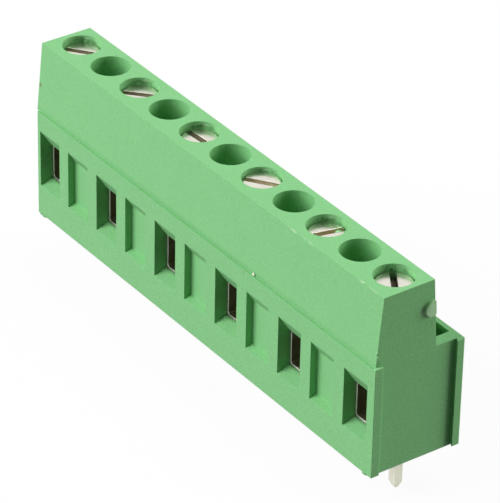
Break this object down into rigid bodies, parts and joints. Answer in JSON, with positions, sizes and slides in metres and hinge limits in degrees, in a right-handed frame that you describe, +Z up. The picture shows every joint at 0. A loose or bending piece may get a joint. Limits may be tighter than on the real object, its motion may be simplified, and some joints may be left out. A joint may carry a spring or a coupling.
{
  "type": "pcb terminal block",
  "caption": "Long green board-mounted screw terminal block with funnel wire entries, slotted clamp screws in round top holes, rising wire cages and flat solder pins.",
  "frame": {"origin": "middle of the row of solder pins, on the surface of the board that the standoffs rest on", "axes": "+X along the row towards the end with the knob and hook, -Y towards the side where the wires go in, +Z up, away from the board"},
  "size_m": [0.0563, 0.01, 0.0235],
  "materials": {
    "green_plastic": "satin moulded",
    "screw_steel": "zinc plated",
    "cage_steel": "nickel plated",
    "tinned_brass": "tin plated"
  },
  "bodies": {
    "block": {"housing": "green_plastic", "contact_pin_1": "tinned_brass", "contact_pin_2": "tinned_brass", "contact_pin_3": "tinned_brass", "contact_pin_4": "tinned_brass", "contact_pin_5": "tinned_brass", "contact_pin_6": "tinned_brass"},
    "screw_1": {"clamp_screw_1": "screw_steel"},
    "cage_1": {"clamp_cage_1": "cage_steel"},
    "screw_2": {"clamp_screw_2": "screw_steel"},
    "cage_2": {"clamp_cage_2": "cage_steel"},
    "screw_3": {"clamp_screw_3": "screw_steel"},
    "cage_3": {"clamp_cage_3": "cage_steel"},
    "screw_4": {"clamp_screw_4": "screw_steel"},
    "cage_4": {"clamp_cage_4": "cage_steel"},
    "screw_5": {"clamp_screw_5": "screw_steel"},
    "cage_5": {"clamp_cage_5": "cage_steel"},
    "screw_6": {"clamp_screw_6": "screw_steel"},
    "cage_6": {"clamp_cage_6": "cage_steel"}
  },
  "joints": [
    {"name": "screw_turn_1", "type": "hinge", "parent": "block", "child": "screw_1", "pos_m": [-0.0254, -0.0012, 0.017], "axis": [0, 0, -1], "range_deg": [0, 2592]},
    {"name": "cage_lift_1", "type": "slide", "parent": "block", "child": "cage_1", "axis": [0, 0, 1], "range_m": [0, 0.0036]},
    {"name": "screw_turn_2", "type": "hinge", "parent": "block", "child": "screw_2", "pos_m": [-0.01524, -0.0012, 0.017], "axis": [0, 0, -1], "range_deg": [0, 2592]},
    {"name": "cage_lift_2", "type": "slide", "parent": "block", "child": "cage_2", "axis": [0, 0, 1], "range_m": [0, 0.0036]},
    {"name": "screw_turn_3", "type": "hinge", "parent": "block", "child": "screw_3", "pos_m": [-0.00508, -0.0012, 0.017], "axis": [0, 0, -1], "range_deg": [0, 2592]},
    {"name": "cage_lift_3", "type": "slide", "parent": "block", "child": "cage_3", "axis": [0, 0, 1], "range_m": [0, 0.0036]},
    {"name": "screw_turn_4", "type": "hinge", "parent": "block", "child": "screw_4", "pos_m": [0.00508, -0.0012, 0.017], "axis": [0, 0, -1], "range_deg": [0, 2592]},
    {"name": "cage_lift_4", "type": "slide", "parent": "block", "child": "cage_4", "axis": [0, 0, 1], "range_m": [0, 0.0036]},
    {"name": "screw_turn_5", "type": "hinge", "parent": "block", "child": "screw_5", "pos_m": [0.01524, -0.0012, 0.017], "axis": [0, 0, -1], "range_deg": [0, 2592]},
    {"name": "cage_lift_5", "type": "slide", "parent": "block", "child": "cage_5", "axis": [0, 0, 1], "range_m": [0, 0.0036]},
    {"name": "screw_turn_6", "type": "hinge", "parent": "block", "child": "screw_6", "pos_m": [0.0254, -0.0012, 0.017], "axis": [0, 0, -1], "range_deg": [0, 2592]},
    {"name": "cage_lift_6", "type": "slide", "parent": "block", "child": "cage_6", "axis": [0, 0, 1], "range_m": [0, 0.0036]}
  ],
  "couplings": [
    {"joint": "screw_turn_1", "follows": "cage_lift_1", "rad_per_m": 12566},
    {"joint": "screw_turn_2", "follows": "cage_lift_2", "rad_per_m": 12566},
    {"joint": "screw_turn_3", "follows": "cage_lift_3", "rad_per_m": 12566},
    {"joint": "screw_turn_4", "follows": "cage_lift_4", "rad_per_m": 12566},
    {"joint": "screw_turn_5", "follows": "cage_lift_5", "rad_per_m": 12566},
    {"joint": "screw_turn_6", "follows": "cage_lift_6", "rad_per_m": 12566}
  ]
}
